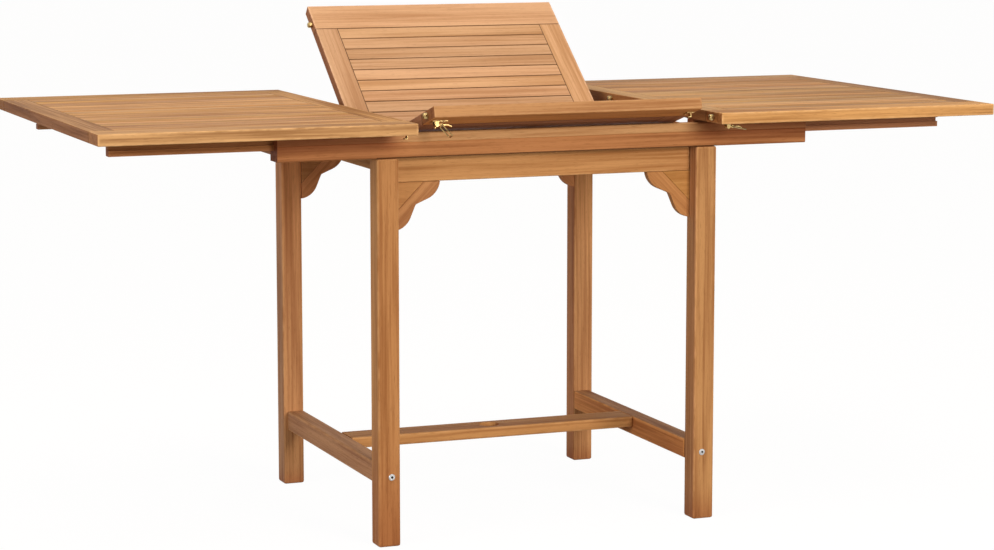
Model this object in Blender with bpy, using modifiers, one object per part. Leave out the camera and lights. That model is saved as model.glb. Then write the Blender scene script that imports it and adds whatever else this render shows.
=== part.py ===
"""Extending garden table in teak, drawn open with its butterfly leaf half raised.

Metres, +Z up, feet on z = 0, X along the table, Y from front (-) to back (+).
Every piece is made where it lies with the leaf flat. The leaf panels hang on two
empties, one on the pivot and one on the fold, that are then turned to the rest pose.
"""

import math

import bmesh
import bpy
from mathutils import Matrix, Vector

# Overall sizes
TABLE_HEIGHT = 0.750
TABLE_DEPTH = 0.800
HALF_LENGTH = 0.550
LEAF_WIDTH = 0.500
PULL_GAP = 0.0325
TOP_THICKNESS = 0.020

# Boards and slats of the tops
SIDE_BOARD = 0.065
END_BOARD = 0.043
FOLD_BOARD = 0.0415
SLAT_PITCH = 0.0291
SLAT_GAP = 0.0020
SLAT_CHAMFER = 0.0010
TOP_EASE = 0.0015
SCORE_DEPTH = 0.0008

# Under-frame
LEG = 0.0405
LEG_SPAN_X = 0.645
LEG_SETBACK = 0.101
FRAME_DROP = 0.068
LEG_EASE = 0.0040
APRON_THICKNESS = 0.014
APRON_HEIGHT = 0.045
END_APRON_HEIGHT = 0.030
APRON_EASE = 0.0025
BRACKET_REACH = 0.0843
BRACKET_WAIST = 0.0394
LOBE_RADIUS = 0.0374
LOBE_CENTRE = 0.0472
LOBE_END = math.radians(68)
BRACKET_BLOCK = 0.054
BRACKET_EASE = 0.0010
SIDE_STRETCHER = 0.033
SIDE_STRETCHER_HEIGHT = 0.0365
STRETCHER_TOP = 0.1425
STRETCHER_EASE = 0.0035
CENTRE_STRETCHER = 0.063
CENTRE_STRETCHER_THICKNESS = 0.020
TENON_LENGTH = 0.014
TENON_WIDTH = 0.040
TENON_THICKNESS = 0.010
POLE_HOLE_RADIUS = 0.019
BOLT_RADIUS = 0.0030
BOLT_DEPTH = 0.045
BOLT_HEAD_RADIUS = 0.0058
BOLT_HEAD_HEIGHT = 0.0024
BOLT_SOCKET_RADIUS = 0.0026
BOLT_SOCKET_DEPTH = 0.0026

# Rails and runners
RAIL_LENGTH = 1.000
RAIL_CLEAR = 0.0050
RAIL_EASE = 0.0020
GUIDE_WIDTH = 0.020
GUIDE_HEIGHT = 0.0160
LEDGE_DROP = 0.0247
KEY_SIZE = 0.0060
KEY_DROP = 0.0082
RUNNER_SETBACK = 0.047
RUNNER_EASE = 0.0015
CROSS_RAIL = 0.020
CROSS_RAIL_HEIGHT = 0.0295
CROSS_RAIL_DROP = 0.0035

# Leaf mechanism
PIVOT_Y = 0.120
PIVOT_DROP = 0.0415
BACK_PANEL_RAISED = math.radians(38.3)
REST_CLEAR = 0.00194
FOLD_GAP = 0.0010
PIVOT_BAR = 0.020
PIVOT_BAR_LIFT = 0.0020
PIVOT_BAR_CLEAR = 0.0065
PIVOT_PIN_RADIUS = 0.0040
PIVOT_HEAD_RADIUS = 0.0070
PIVOT_HEAD_HEIGHT = 0.0030
PIVOT_PIN_GRIP = 0.014
CLEAT = 0.018
CLEAT_INSET = 0.022
CLEAT_BELOW_PIVOT = 0.016
CLEAT_START = 0.030
CLEAT_RAIL_CLEAR = 0.016
CLEAT_EASE = 0.0020
BATTEN = 0.030
BATTEN_HEIGHT = 0.015
BATTEN_START = 0.030
BATTEN_RAIL_CLEAR = 0.013
BATTEN_EASE = 0.0020

# Fold hinges
HINGE_X = 0.150
HINGE_LENGTH = 0.050
HINGE_PLATE = 0.0014
HINGE_DROP = 0.0150
KNUCKLE_RADIUS = 0.0022
HINGE_PIN_RADIUS = 0.0010

# Alignment pins
PIN_RADIUS = 0.0055
PIN_OUT = 0.0085
PIN_IN = 0.0150
PIN_FRONT_INSET = 0.035
PIN_BACK_INSET = 0.043
PIN_MIDDLE = 0.081
SOCKET_DEPTH = 0.010
SOCKET_SLACK = 0.0005

# Draw latches and their catches
LATCH_EDGE_INSET = 0.035
LATCH_INSET_LEAF = 0.006
LATCH_INSET_HALF = 0.020
LATCH_LENGTH = 0.028
LATCH_WIDTH = 0.016
LATCH_PLATE = 0.0015
EAR_GAP = 0.0090
EAR_THICKNESS = 0.0015
EAR_RADIUS = 0.0032
LEVER_SETBACK = 0.008
LEVER_AXIS_DROP = 0.0055
LEVER_PIN_RADIUS = 0.0015
LEVER_BARREL = 0.0027
LEVER_LENGTH = 0.027
LEVER_WIDTH = 0.0064
LEVER_THICKNESS = 0.0020
LEVER_TIP_DROP = 0.0030
BAIL_ARM = 0.0085
BAIL_BOSS = 0.0026
BAIL_WIRE = 0.0011
BAIL_WIDTH = 0.0152
BAIL_LENGTH = 0.026
BAIL_CORNER = 0.003
BAIL_END_GAP = 0.003
LEAF_BAIL_HANG = math.radians(50)
HALF_BAIL_HANG = math.radians(12)
CATCH_LENGTH = 0.014
CATCH_INSET = 0.004
CATCH_DROP = 0.0085
CATCH_LIP = 0.0040
CATCH_WIDTH = 0.009

# Clearances
JOINT_GAP = 0.0003
SLIDE_GAP = 0.0005
TURN_GAP = 0.0002
CUT_PAST = 0.005
ROUND_SIDES = 24
SMALL_SIDES = 16

# Places that follow from the sizes
EDGE_Y = TABLE_DEPTH / 2
FIELD_Y = EDGE_Y - SIDE_BOARD
LEG_X = LEG_SPAN_X / 2
LEG_Y = EDGE_Y - LEG_SETBACK
INNER_X = LEG_X - LEG
INNER_Y = LEG_Y - LEG
LEG_HEIGHT = TABLE_HEIGHT - FRAME_DROP
UNDER_TOP = TABLE_HEIGHT - TOP_THICKNESS
MID_TOP = TABLE_HEIGHT - TOP_THICKNESS / 2
HALF_INNER = LEAF_WIDTH / 2 + PULL_GAP
HALF_OUTER = HALF_INNER + HALF_LENGTH
RAIL_BOTTOM = LEG_HEIGHT + JOINT_GAP
RAIL_TOP = UNDER_TOP - RAIL_CLEAR
RAIL_SEAM = RAIL_TOP - GUIDE_HEIGHT
RAIL_LEDGE = RAIL_TOP - LEDGE_DROP
KEY_HIGH = RAIL_TOP - KEY_DROP
KEY_LOW = KEY_HIGH - KEY_SIZE
CROSS_RAIL_TOP = RAIL_TOP - CROSS_RAIL_DROP
CROSS_RAIL_BOTTOM = CROSS_RAIL_TOP - CROSS_RAIL_HEIGHT
PIVOT_BAR_BOTTOM = LEG_HEIGHT + PIVOT_BAR_LIFT
PIVOT_Z = TABLE_HEIGHT - PIVOT_DROP
BAR_INNER = LEAF_WIDTH / 2 + PIVOT_BAR_CLEAR
BAR_OUTER = BAR_INNER + PIVOT_BAR
STRETCHER_MID = STRETCHER_TOP - SIDE_STRETCHER_HEIGHT / 2
FITTING_TOP = UNDER_TOP - JOINT_GAP
CLEAT_END = INNER_Y - CLEAT_RAIL_CLEAR
BATTEN_END = INNER_Y - BATTEN_RAIL_CLEAR
PIN_FRONT = EDGE_Y - PIN_FRONT_INSET
PIN_BACK = EDGE_Y - PIN_BACK_INSET
LATCH_Y = EDGE_Y - LATCH_EDGE_INSET

SIDES = (("left", -1), ("right", 1))
ENDS = (("front", -1), ("back", 1))

# Local X, Y, Z of a flat outline or rod, for work that is pulled out along each axis
AXIS_TURNS = {
    "X": Matrix(((0, 0, 1), (1, 0, 0), (0, 1, 0))).to_4x4(),
    "Y": Matrix(((1, 0, 0), (0, 0, -1), (0, 1, 0))).to_4x4(),
    "Z": Matrix.Identity(4),
}


def clear_scene():
    """Removes what the start-up file holds."""
    for obj in list(bpy.data.objects):
        bpy.data.objects.remove(obj, do_unlink=True)


def new_collection(name, hidden=False):
    """A collection under the scene's own; cutters go in a hidden one."""
    made = bpy.data.collections.new(name)
    made.hide_render = hidden
    bpy.context.scene.collection.children.link(made)
    return made


def principled(name, colour, roughness, metallic=0.0):
    """A plain Principled material."""
    made = bpy.data.materials.new(name)
    made.use_nodes = True
    shader = made.node_tree.nodes["Principled BSDF"]
    shader.inputs["Base Color"].default_value = (*colour, 1.0)
    shader.inputs["Roughness"].default_value = roughness
    shader.inputs["Metallic"].default_value = metallic
    return made


clear_scene()
PARTS = new_collection("garden_table")
CUTTERS = new_collection("cutters", hidden=True)
TEAK_LEGS = principled("teak_legs", (0.42, 0.21, 0.07), 0.55)
TEAK_FRAME = principled("teak_frame", (0.45, 0.24, 0.09), 0.55)
TEAK_BOARDS = principled("teak_boards", (0.50, 0.28, 0.11), 0.50)
TEAK_SLATS = principled("teak_slats", (0.54, 0.31, 0.13), 0.50)
TEAK_LEAF = principled("teak_leaf", (0.55, 0.30, 0.15), 0.50)
BRASS = principled("brass", (0.72, 0.53, 0.22), 0.30, 1.0)
STEEL = principled("steel", (0.62, 0.62, 0.60), 0.35, 1.0)


def hang(obj, place, parent=None):
    """Puts an object at a place of the flat table, under a parent if it has one."""
    start = Vector(parent["flat_place"]) if parent else Vector((0, 0, 0))
    obj.parent = parent
    obj.location = Vector(place) - start
    obj["flat_place"] = tuple(place)


def axis_empty(name, place, parent=None):
    """An axis to hang moving pieces on."""
    made = bpy.data.objects.new(name, None)
    made.empty_display_size = 0.05
    PARTS.objects.link(made)
    hang(made, place, parent)
    return made


def finish(name, mesh, place, material, parent=None, smooth=False):
    """Names a mesh as a piece of the table."""
    mesh.name = name
    obj = bpy.data.objects.new(name, mesh)
    PARTS.objects.link(obj)
    hang(obj, place, parent)
    mesh.materials.append(material)
    if smooth:
        mesh.shade_smooth()
        mesh.set_sharp_from_angle(angle=math.radians(40))
    return obj


def box_mesh(size):
    """A box of the given size round its own origin."""
    mesh = bpy.data.meshes.new("box")
    shape = bmesh.new()
    bmesh.ops.create_cube(shape, size=1.0, matrix=Matrix.Diagonal((*size, 1.0)))
    shape.to_mesh(mesh)
    shape.free()
    return mesh


def rod_mesh(radius, length, axis, sides=ROUND_SIDES):
    """A round rod along an axis, round its own origin."""
    mesh = bpy.data.meshes.new("rod")
    shape = bmesh.new()
    bmesh.ops.create_cone(
        shape,
        cap_ends=True,
        segments=sides,
        radius1=radius,
        radius2=radius,
        depth=length,
        matrix=AXIS_TURNS[axis],
    )
    shape.to_mesh(mesh)
    shape.free()
    return mesh


def mesh_of(obj):
    """The evaluated mesh of a helper object, which is then removed."""
    graph = bpy.context.evaluated_depsgraph_get()
    mesh = bpy.data.meshes.new_from_object(obj.evaluated_get(graph))
    bpy.data.objects.remove(obj, do_unlink=True)
    return mesh


def mesh_of_curve(curve, axis="Z"):
    """The closed mesh of a curve, with its loose caps welded on."""
    obj = bpy.data.objects.new("curve", curve)
    CUTTERS.objects.link(obj)
    mesh = mesh_of(obj)
    bpy.data.curves.remove(curve)
    shape = bmesh.new()
    shape.from_mesh(mesh)
    bmesh.ops.remove_doubles(shape, verts=shape.verts, dist=1e-6)
    bmesh.ops.transform(shape, matrix=AXIS_TURNS[axis], verts=shape.verts)
    bmesh.ops.recalc_face_normals(shape, faces=shape.faces)
    shape.to_mesh(mesh)
    shape.free()
    return mesh


def prism_mesh(outlines, length, axis):
    """Flat outlines pulled out both ways along an axis.

    Along X an outline's two numbers are Y and Z, along Y they are X and Z.
    """
    curve = bpy.data.curves.new("outline", "CURVE")
    curve.dimensions = "2D"
    curve.fill_mode = "BOTH"
    curve.extrude = length / 2
    for outline in outlines:
        spline = curve.splines.new("POLY")
        spline.points.add(len(outline) - 1)
        spline.use_cyclic_u = True
        for point, (u, v) in zip(spline.points, outline):
            point.co = (u, v, 0, 1)
    return mesh_of_curve(curve, axis)


def wire_mesh(points, radius):
    """A round wire along a line of points, with closed ends."""
    curve = bpy.data.curves.new("wire", "CURVE")
    curve.dimensions = "3D"
    curve.bevel_depth = radius
    curve.bevel_resolution = 2
    curve.use_fill_caps = True
    spline = curve.splines.new("POLY")
    spline.points.add(len(points) - 1)
    for point, place in zip(spline.points, points):
        point.co = (*place, 1)
    return mesh_of_curve(curve)


def turned_mesh(profile):
    """A profile of (radius, height), top to bottom, turned round Z by a Screw."""
    mesh = bpy.data.meshes.new("profile")
    ends = [(0.0, profile[0][1]), *profile, (0.0, profile[-1][1])]
    points = [(radius, 0.0, height) for radius, height in ends]
    mesh.from_pydata(points, [(i, i + 1) for i in range(len(points) - 1)], [])
    obj = bpy.data.objects.new("profile", mesh)
    CUTTERS.objects.link(obj)
    screw = obj.modifiers.new("turn", "SCREW")
    screw.steps = ROUND_SIDES
    screw.render_steps = ROUND_SIDES
    screw.use_merge_vertices = True
    screw.merge_threshold = 1e-5
    return mesh_of(obj)


def ease(obj, width, segments=2):
    """Rounds the edges of a piece."""
    bevel = obj.modifiers.new("eased", "BEVEL")
    bevel.width = width
    bevel.segments = segments
    bevel.limit_method = "ANGLE"
    bevel.angle_limit = math.radians(40)


def combine(obj, mesh, place, parent, operation):
    """Cuts a mesh that lies on the flat table out of a piece, or joins it on."""
    tool = bpy.data.objects.new(f"{obj.name}_{operation.lower()}", mesh)
    tool.hide_render = True
    tool.display_type = "WIRE"
    CUTTERS.objects.link(tool)
    hang(tool, place, parent)
    made = obj.modifiers.new(operation.lower(), "BOOLEAN")
    made.operation = operation
    made.solver = "EXACT"
    made.object = tool


def cut(obj, mesh, place, parent=None):
    """Takes a mesh away from a piece."""
    combine(obj, mesh, place, parent, "DIFFERENCE")


def join(obj, mesh, place, parent=None):
    """Adds a mesh to a piece."""
    combine(obj, mesh, place, parent, "UNION")


def span(start, end):
    """Two places on a line, in rising order."""
    return min(start, end), max(start, end)


def board(name, x, y, z, material, easing, parent=None):
    """A board between two places on each axis, with eased edges."""
    sides = [span(*x), span(*y), span(*z)]
    size = [high - low for low, high in sides]
    place = [(low + high) / 2 for low, high in sides]
    obj = finish(name, box_mesh(size), place, material, parent)
    ease(obj, easing)
    return obj


def arc(centre, radius, start, end, steps):
    """Points along a circular arc, both ends included."""
    angles = [start + (end - start) * i / steps for i in range(steps + 1)]
    return [(centre[0] + radius * math.cos(a), centre[1] + radius * math.sin(a)) for a in angles]


def bolt_x(x_sign):
    """The bolts run into the middle of the side stretchers."""
    return x_sign * (INNER_X + SIDE_STRETCHER / 2)


def make_legs():
    """Four legs, each with a hole for the bolt into its side stretcher."""
    for end, y_sign in ENDS:
        for side, x_sign in SIDES:
            leg = board(
                f"leg_{end}_{side}",
                (x_sign * INNER_X, x_sign * LEG_X),
                (y_sign * INNER_Y, y_sign * LEG_Y),
                (0, LEG_HEIGHT),
                TEAK_LEGS,
                LEG_EASE,
            )
            hole = rod_mesh(BOLT_RADIUS + JOINT_GAP, LEG + 2 * CUT_PAST, "Y")
            cut(leg, hole, (bolt_x(x_sign), y_sign * (LEG_Y - LEG / 2), STRETCHER_MID))


def make_bolts():
    """Bolts with a low domed head and a six-sided socket."""
    profile = [
        (BOLT_HEAD_RADIUS * 0.72, BOLT_HEAD_HEIGHT),
        (BOLT_HEAD_RADIUS, BOLT_HEAD_HEIGHT / 2),
        (BOLT_HEAD_RADIUS, JOINT_GAP),
        (BOLT_RADIUS, JOINT_GAP),
        (BOLT_RADIUS, -LEG - BOLT_DEPTH),
    ]
    for end, y_sign in ENDS:
        for side, x_sign in SIDES:
            mesh = turned_mesh(profile)
            mesh.transform(Matrix.Rotation(-y_sign * math.pi / 2, 4, "X"))
            x = bolt_x(x_sign)
            bolt = finish(
                f"bolt_{end}_{side}", mesh, (x, y_sign * LEG_Y, STRETCHER_MID), STEEL, smooth=True
            )
            socket = rod_mesh(BOLT_SOCKET_RADIUS, 2 * BOLT_SOCKET_DEPTH, "Y", sides=6)
            cut(bolt, socket, (x, y_sign * (LEG_Y + BOLT_HEAD_HEIGHT), STRETCHER_MID))


def make_aprons():
    """The aprons lie flush with the legs' inner faces; those at the ends are shallower."""
    x_end = INNER_X - JOINT_GAP
    y_end = INNER_Y - JOINT_GAP
    for end, y_sign in ENDS:
        board(
            f"apron_{end}",
            (-x_end, x_end),
            (y_sign * INNER_Y, y_sign * (INNER_Y + APRON_THICKNESS)),
            (LEG_HEIGHT - APRON_HEIGHT, LEG_HEIGHT),
            TEAK_FRAME,
            APRON_EASE,
        )
    for side, x_sign in SIDES:
        board(
            f"end_apron_{side}",
            (x_sign * INNER_X, x_sign * (INNER_X + APRON_THICKNESS)),
            (-y_end, y_end),
            (LEG_HEIGHT - END_APRON_HEIGHT, LEG_HEIGHT),
            TEAK_FRAME,
            APRON_EASE,
        )


def bracket_outline():
    """Ogee bracket from its corner: a round lobe, a hollow waist, and the same mirrored.

    The lobe is an arc from the tip. From the arc's end a curve runs along the two
    tangents that meet, one of the arc and one square to the bracket's diagonal.
    """
    drop = math.sqrt(LOBE_RADIUS ** 2 - (BRACKET_REACH - LOBE_CENTRE) ** 2)
    lobe = arc((LOBE_CENTRE, -drop), LOBE_RADIUS, math.asin(drop / LOBE_RADIUS), LOBE_END, 7)
    start = Vector(lobe[-1])
    waist = Vector((BRACKET_WAIST, BRACKET_WAIST))
    heading = Vector((-math.sin(LOBE_END), math.cos(LOBE_END)))
    run = (waist.x + waist.y - start.x - start.y) / (heading.x + heading.y)
    bend = start + heading * run
    hollow = []
    for step in range(1, 4):
        t = step / 4
        hollow.append(start.lerp(bend, t).lerp(bend.lerp(waist, t), t).to_tuple())
    half = lobe + hollow
    return [(0.0, 0.0), *half, waist.to_tuple(), *[(v, u) for u, v in reversed(half)]]


def make_brackets():
    """Brackets in the corners of legs and aprons, scored where block meets shaped strip."""
    top = LEG_HEIGHT - APRON_HEIGHT - JOINT_GAP
    length = BRACKET_BLOCK * math.sqrt(2) + 4 * CUT_PAST
    middle = BRACKET_BLOCK / 2
    for end, y_sign in ENDS:
        y = y_sign * (INNER_Y + APRON_THICKNESS / 2)
        for side, x_sign in SIDES:
            corner = x_sign * (INNER_X - JOINT_GAP)
            outline = [(-x_sign * u, -v) for u, v in bracket_outline()]
            mesh = prism_mesh([outline], APRON_THICKNESS, "Y")
            bracket = finish(f"bracket_{end}_{side}", mesh, (corner, y, top), TEAK_FRAME)
            ease(bracket, BRACKET_EASE, segments=1)
            for face in (-1, 1):
                score = prism_mesh([score_outline(0, 0)], length, "X")
                score.transform(Matrix.Rotation(-face * math.pi / 2, 4, "X"))
                score.transform(Matrix.Rotation(x_sign * math.pi / 4, 4, "Y"))
                face_y = y + face * APRON_THICKNESS / 2
                cut(bracket, score, (corner - x_sign * middle, face_y, top - middle))


def score_outline(u, v):
    """Section of a V that is cut into a face from above."""
    deep = SCORE_DEPTH
    return [(u - 2 * deep, v + deep), (u, v - deep), (u + 2 * deep, v + deep)]


def make_stretchers():
    """Side stretchers bolted between the legs, and the flat one tenoned between them."""
    y_end = INNER_Y - JOINT_GAP
    x_end = INNER_X - JOINT_GAP
    tenon = (TENON_LENGTH + CUT_PAST, TENON_WIDTH, TENON_THICKNESS)
    mortise = [size + 2 * JOINT_GAP for size in tenon]
    tenon_x = INNER_X + (TENON_LENGTH - CUT_PAST) / 2
    mid = STRETCHER_TOP - CENTRE_STRETCHER_THICKNESS / 2
    flat = board(
        "centre_stretcher",
        (-x_end, x_end),
        (-CENTRE_STRETCHER / 2, CENTRE_STRETCHER / 2),
        (STRETCHER_TOP - CENTRE_STRETCHER_THICKNESS, STRETCHER_TOP),
        TEAK_LEGS,
        APRON_EASE,
    )
    pole = rod_mesh(POLE_HOLE_RADIUS, CENTRE_STRETCHER_THICKNESS + 2 * CUT_PAST, "Z")
    cut(flat, pole, (0, 0, mid))
    for side, x_sign in SIDES:
        join(flat, box_mesh(tenon), (x_sign * tenon_x, 0, mid))
        stretcher = board(
            f"side_stretcher_{side}",
            (x_sign * INNER_X, x_sign * (INNER_X + SIDE_STRETCHER)),
            (-y_end, y_end),
            (STRETCHER_TOP - SIDE_STRETCHER_HEIGHT, STRETCHER_TOP),
            TEAK_LEGS,
            STRETCHER_EASE,
        )
        cut(stretcher, box_mesh(mortise), (x_sign * tenon_x, 0, mid))
        for end, y_sign in ENDS:
            hole = rod_mesh(BOLT_RADIUS + JOINT_GAP, 2 * (BOLT_DEPTH + 2 * JOINT_GAP), "Y")
            cut(stretcher, hole, (bolt_x(x_sign), y_sign * INNER_Y, STRETCHER_MID))


def rail_outline(y_sign):
    """Section of a rail: a ledge for the runner, a guide strip before it, a key on the strip."""
    key_tip = GUIDE_WIDTH + KEY_SIZE
    inwards = [
        (RAIL_EASE, RAIL_BOTTOM),
        (LEG, RAIL_BOTTOM),
        (LEG, RAIL_LEDGE),
        (GUIDE_WIDTH, RAIL_LEDGE),
        (GUIDE_WIDTH, KEY_LOW),
        (key_tip, KEY_LOW),
        (key_tip, KEY_HIGH),
        (GUIDE_WIDTH, KEY_HIGH),
        (GUIDE_WIDTH, RAIL_TOP - RAIL_EASE),
        (GUIDE_WIDTH - RAIL_EASE, RAIL_TOP),
        (RAIL_EASE, RAIL_TOP),
        (0, RAIL_TOP - RAIL_EASE),
        (0, RAIL_SEAM + SCORE_DEPTH),
        (SCORE_DEPTH, RAIL_SEAM),
        (0, RAIL_SEAM - SCORE_DEPTH),
        (0, RAIL_BOTTOM + RAIL_EASE),
    ]
    return [(y_sign * (LEG_Y - u), z) for u, z in inwards]


def make_rails():
    """The two long rails on the legs, and the cross rails between their ends."""
    y_end = INNER_Y - JOINT_GAP
    for end, y_sign in ENDS:
        mesh = prism_mesh([rail_outline(y_sign)], RAIL_LENGTH, "X")
        finish(f"rail_{end}", mesh, (0, 0, 0), TEAK_FRAME)
    for side, x_sign in SIDES:
        board(
            f"cross_rail_{side}",
            (x_sign * RAIL_LENGTH / 2, x_sign * (RAIL_LENGTH / 2 - CROSS_RAIL)),
            (-y_end, y_end),
            (CROSS_RAIL_BOTTOM, CROSS_RAIL_TOP),
            TEAK_FRAME,
            RAIL_EASE,
        )


def make_pivot_bars():
    """Cross bars inside the rails, with the pins that the leaf turns on."""
    y_end = INNER_Y - JOINT_GAP
    reach = PIVOT_BAR + PIVOT_BAR_CLEAR + CLEAT_INSET + PIVOT_PIN_GRIP
    profile = [
        (PIVOT_HEAD_RADIUS * 0.8, PIVOT_HEAD_HEIGHT),
        (PIVOT_HEAD_RADIUS, PIVOT_HEAD_HEIGHT / 2),
        (PIVOT_HEAD_RADIUS, JOINT_GAP),
        (PIVOT_PIN_RADIUS, JOINT_GAP),
        (PIVOT_PIN_RADIUS, -reach),
    ]
    for side, x_sign in SIDES:
        bar = board(
            f"pivot_bar_{side}",
            (x_sign * BAR_INNER, x_sign * BAR_OUTER),
            (-y_end, y_end),
            (PIVOT_BAR_BOTTOM, CROSS_RAIL_TOP),
            TEAK_FRAME,
            RAIL_EASE,
        )
        hole = rod_mesh(PIVOT_PIN_RADIUS + TURN_GAP, PIVOT_BAR + 2 * CUT_PAST, "X")
        cut(bar, hole, (x_sign * (BAR_INNER + BAR_OUTER) / 2, PIVOT_Y, PIVOT_Z))
        mesh = turned_mesh(profile)
        mesh.transform(Matrix.Rotation(x_sign * math.pi / 2, 4, "Y"))
        place = (x_sign * BAR_OUTER, PIVOT_Y, PIVOT_Z)
        finish(f"pivot_pin_{side}", mesh, place, STEEL, smooth=True)


def slot_outline(y):
    """Section of the gap between two slats, flared where their top edges are chamfered."""
    narrow = SLAT_GAP / 2
    right = [
        (narrow, UNDER_TOP - CUT_PAST),
        (narrow, TABLE_HEIGHT - SLAT_CHAMFER),
        (narrow + SLAT_CHAMFER + CUT_PAST, TABLE_HEIGHT + CUT_PAST),
    ]
    return [(y + u, z) for u, z in right] + [(y - u, z) for u, z in reversed(right)]


def slat_panel(name, x, y, field_y, material, parent=None):
    """Slats along X, glued between the end boards that carry them.

    The gaps between the slats are open. A score marks the joints to the end boards.
    """
    panel = board(name, x, y, (UNDER_TOP, TABLE_HEIGHT), material, TOP_EASE, parent)
    x_low, x_high = span(*x)
    y_low, y_high = span(*field_y)
    joints = (x_low + END_BOARD, x_high - END_BOARD)
    count = round((y_high - y_low) / SLAT_PITCH)
    pitch = (y_high - y_low) / count
    slots = [slot_outline(y_low + pitch * i) for i in range(count + 1)]
    length = joints[1] - joints[0] + SCORE_DEPTH / 2
    middle = (joints[0] + joints[1]) / 2
    cut(panel, prism_mesh(slots, length, "X"), (middle, 0, 0), parent)
    scores = [score_outline(joint, TABLE_HEIGHT) for joint in joints]
    cut(panel, prism_mesh(scores, y_high - y_low, "Y"), (0, (y_low + y_high) / 2, 0), parent)
    return panel


def runner_outline(y_sign):
    """Section of a runner: it rests on the rail's ledge, and the rail's key runs in its groove."""
    outer = GUIDE_WIDTH + SLIDE_GAP
    inner = LEG - JOINT_GAP
    bottom = RAIL_LEDGE + JOINT_GAP
    groove = GUIDE_WIDTH + KEY_SIZE + SLIDE_GAP
    inwards = [
        (outer, bottom),
        (inner - RUNNER_EASE, bottom),
        (inner, bottom + RUNNER_EASE),
        (inner, FITTING_TOP),
        (outer, FITTING_TOP),
        (outer, KEY_HIGH + SLIDE_GAP),
        (groove, KEY_HIGH + SLIDE_GAP),
        (groove, KEY_LOW - SLIDE_GAP),
        (outer, KEY_LOW - SLIDE_GAP),
    ]
    return [(y_sign * (LEG_Y - u), z) for u, z in inwards]


def make_half(side, x_sign):
    """A half top: front and back boards, slats, and two runners that slide in the rails."""
    x = (x_sign * HALF_INNER, x_sign * HALF_OUTER)
    pieces = {}
    for end, y_sign in ENDS:
        pieces[end] = board(
            f"{side}_half_board_{end}",
            x,
            (y_sign * FIELD_Y, y_sign * EDGE_Y),
            (UNDER_TOP, TABLE_HEIGHT),
            TEAK_BOARDS,
            TOP_EASE,
        )
    y = (JOINT_GAP - FIELD_Y, FIELD_Y - JOINT_GAP)
    pieces["slats"] = slat_panel(f"{side}_half_slats", x, y, (-FIELD_Y, FIELD_Y), TEAK_SLATS)
    length = HALF_LENGTH - RUNNER_SETBACK
    middle = x_sign * (HALF_INNER + length / 2)
    for end, y_sign in ENDS:
        mesh = prism_mesh([runner_outline(y_sign)], length, "X")
        finish(f"{side}_half_runner_{end}", mesh, (middle, 0, 0), TEAK_FRAME)
    return pieces


def make_panel(name, y_sign, parent):
    """A leaf panel: its outer board, and slats held by stiles and the board at the fold."""
    x = (-LEAF_WIDTH / 2, LEAF_WIDTH / 2)
    fold_edge = y_sign * FOLD_GAP / 2
    outer = board(
        f"{name}_panel_board",
        x,
        (y_sign * FIELD_Y, y_sign * EDGE_Y),
        (UNDER_TOP, TABLE_HEIGHT),
        TEAK_LEAF,
        TOP_EASE,
        parent,
    )
    slats = slat_panel(
        f"{name}_panel_slats",
        x,
        (fold_edge, y_sign * (FIELD_Y - JOINT_GAP)),
        (fold_edge + y_sign * FOLD_BOARD, y_sign * FIELD_Y),
        TEAK_LEAF,
        parent,
    )
    return {"board": outer, "slats": slats}


def make_cleats(pivot):
    """Deep cleats under the back panel, which turn on the pivot pins."""
    outer = LEAF_WIDTH / 2 - CLEAT_INSET
    for side, x_sign in SIDES:
        cleat = board(
            f"back_panel_cleat_{side}",
            (x_sign * outer, x_sign * (outer - CLEAT)),
            (CLEAT_START, CLEAT_END),
            (PIVOT_Z - CLEAT_BELOW_PIVOT, FITTING_TOP),
            TEAK_FRAME,
            CLEAT_EASE,
            pivot,
        )
        hole = rod_mesh(PIVOT_PIN_RADIUS + TURN_GAP, 2 * (PIVOT_PIN_GRIP + SLIDE_GAP), "X")
        cut(cleat, hole, (x_sign * outer, PIVOT_Y, PIVOT_Z), pivot)


def make_batten(fold):
    """A batten under the middle of the front panel's slats, short enough to drop between the rails."""
    board(
        "front_panel_batten",
        (-BATTEN / 2, BATTEN / 2),
        (-BATTEN_START, -BATTEN_END),
        (FITTING_TOP - BATTEN_HEIGHT, FITTING_TOP),
        TEAK_FRAME,
        BATTEN_EASE,
        fold,
    )


def make_hinge_leaf(name, x, y_sign, parent):
    """One leaf of a butt hinge let into a panel's edge.

    The front leaf has the outer knuckles and the pin, the back leaf the middle knuckle.
    """
    third = HINGE_LENGTH / 3
    height = HINGE_DROP - KNUCKLE_RADIUS / 2
    place = (x, y_sign * (FOLD_GAP + HINGE_PLATE) / 2, TABLE_HEIGHT - HINGE_DROP + height / 2)
    leaf = finish(name, box_mesh((HINGE_LENGTH, HINGE_PLATE, height)), place, BRASS, parent)
    own, other = ((0,), (-1, 1)) if y_sign > 0 else ((-1, 1), (0,))
    for step in other:
        room = rod_mesh(KNUCKLE_RADIUS + SLIDE_GAP, third + abs(step) * CUT_PAST, "X", SMALL_SIDES)
        cut(leaf, room, (x + step * (third + CUT_PAST / 2), 0, TABLE_HEIGHT), parent)
    for step in own:
        knuckle = rod_mesh(KNUCKLE_RADIUS, third - SLIDE_GAP, "X", SMALL_SIDES)
        join(leaf, knuckle, (x + step * third, 0, TABLE_HEIGHT), parent)
    if y_sign > 0:
        bore = rod_mesh(HINGE_PIN_RADIUS + TURN_GAP, third, "X", SMALL_SIDES)
        cut(leaf, bore, (x, 0, TABLE_HEIGHT), parent)
    else:
        pin = rod_mesh(HINGE_PIN_RADIUS, 2 * third, "X", SMALL_SIDES)
        join(leaf, pin, (x, 0, TABLE_HEIGHT), parent)


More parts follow.
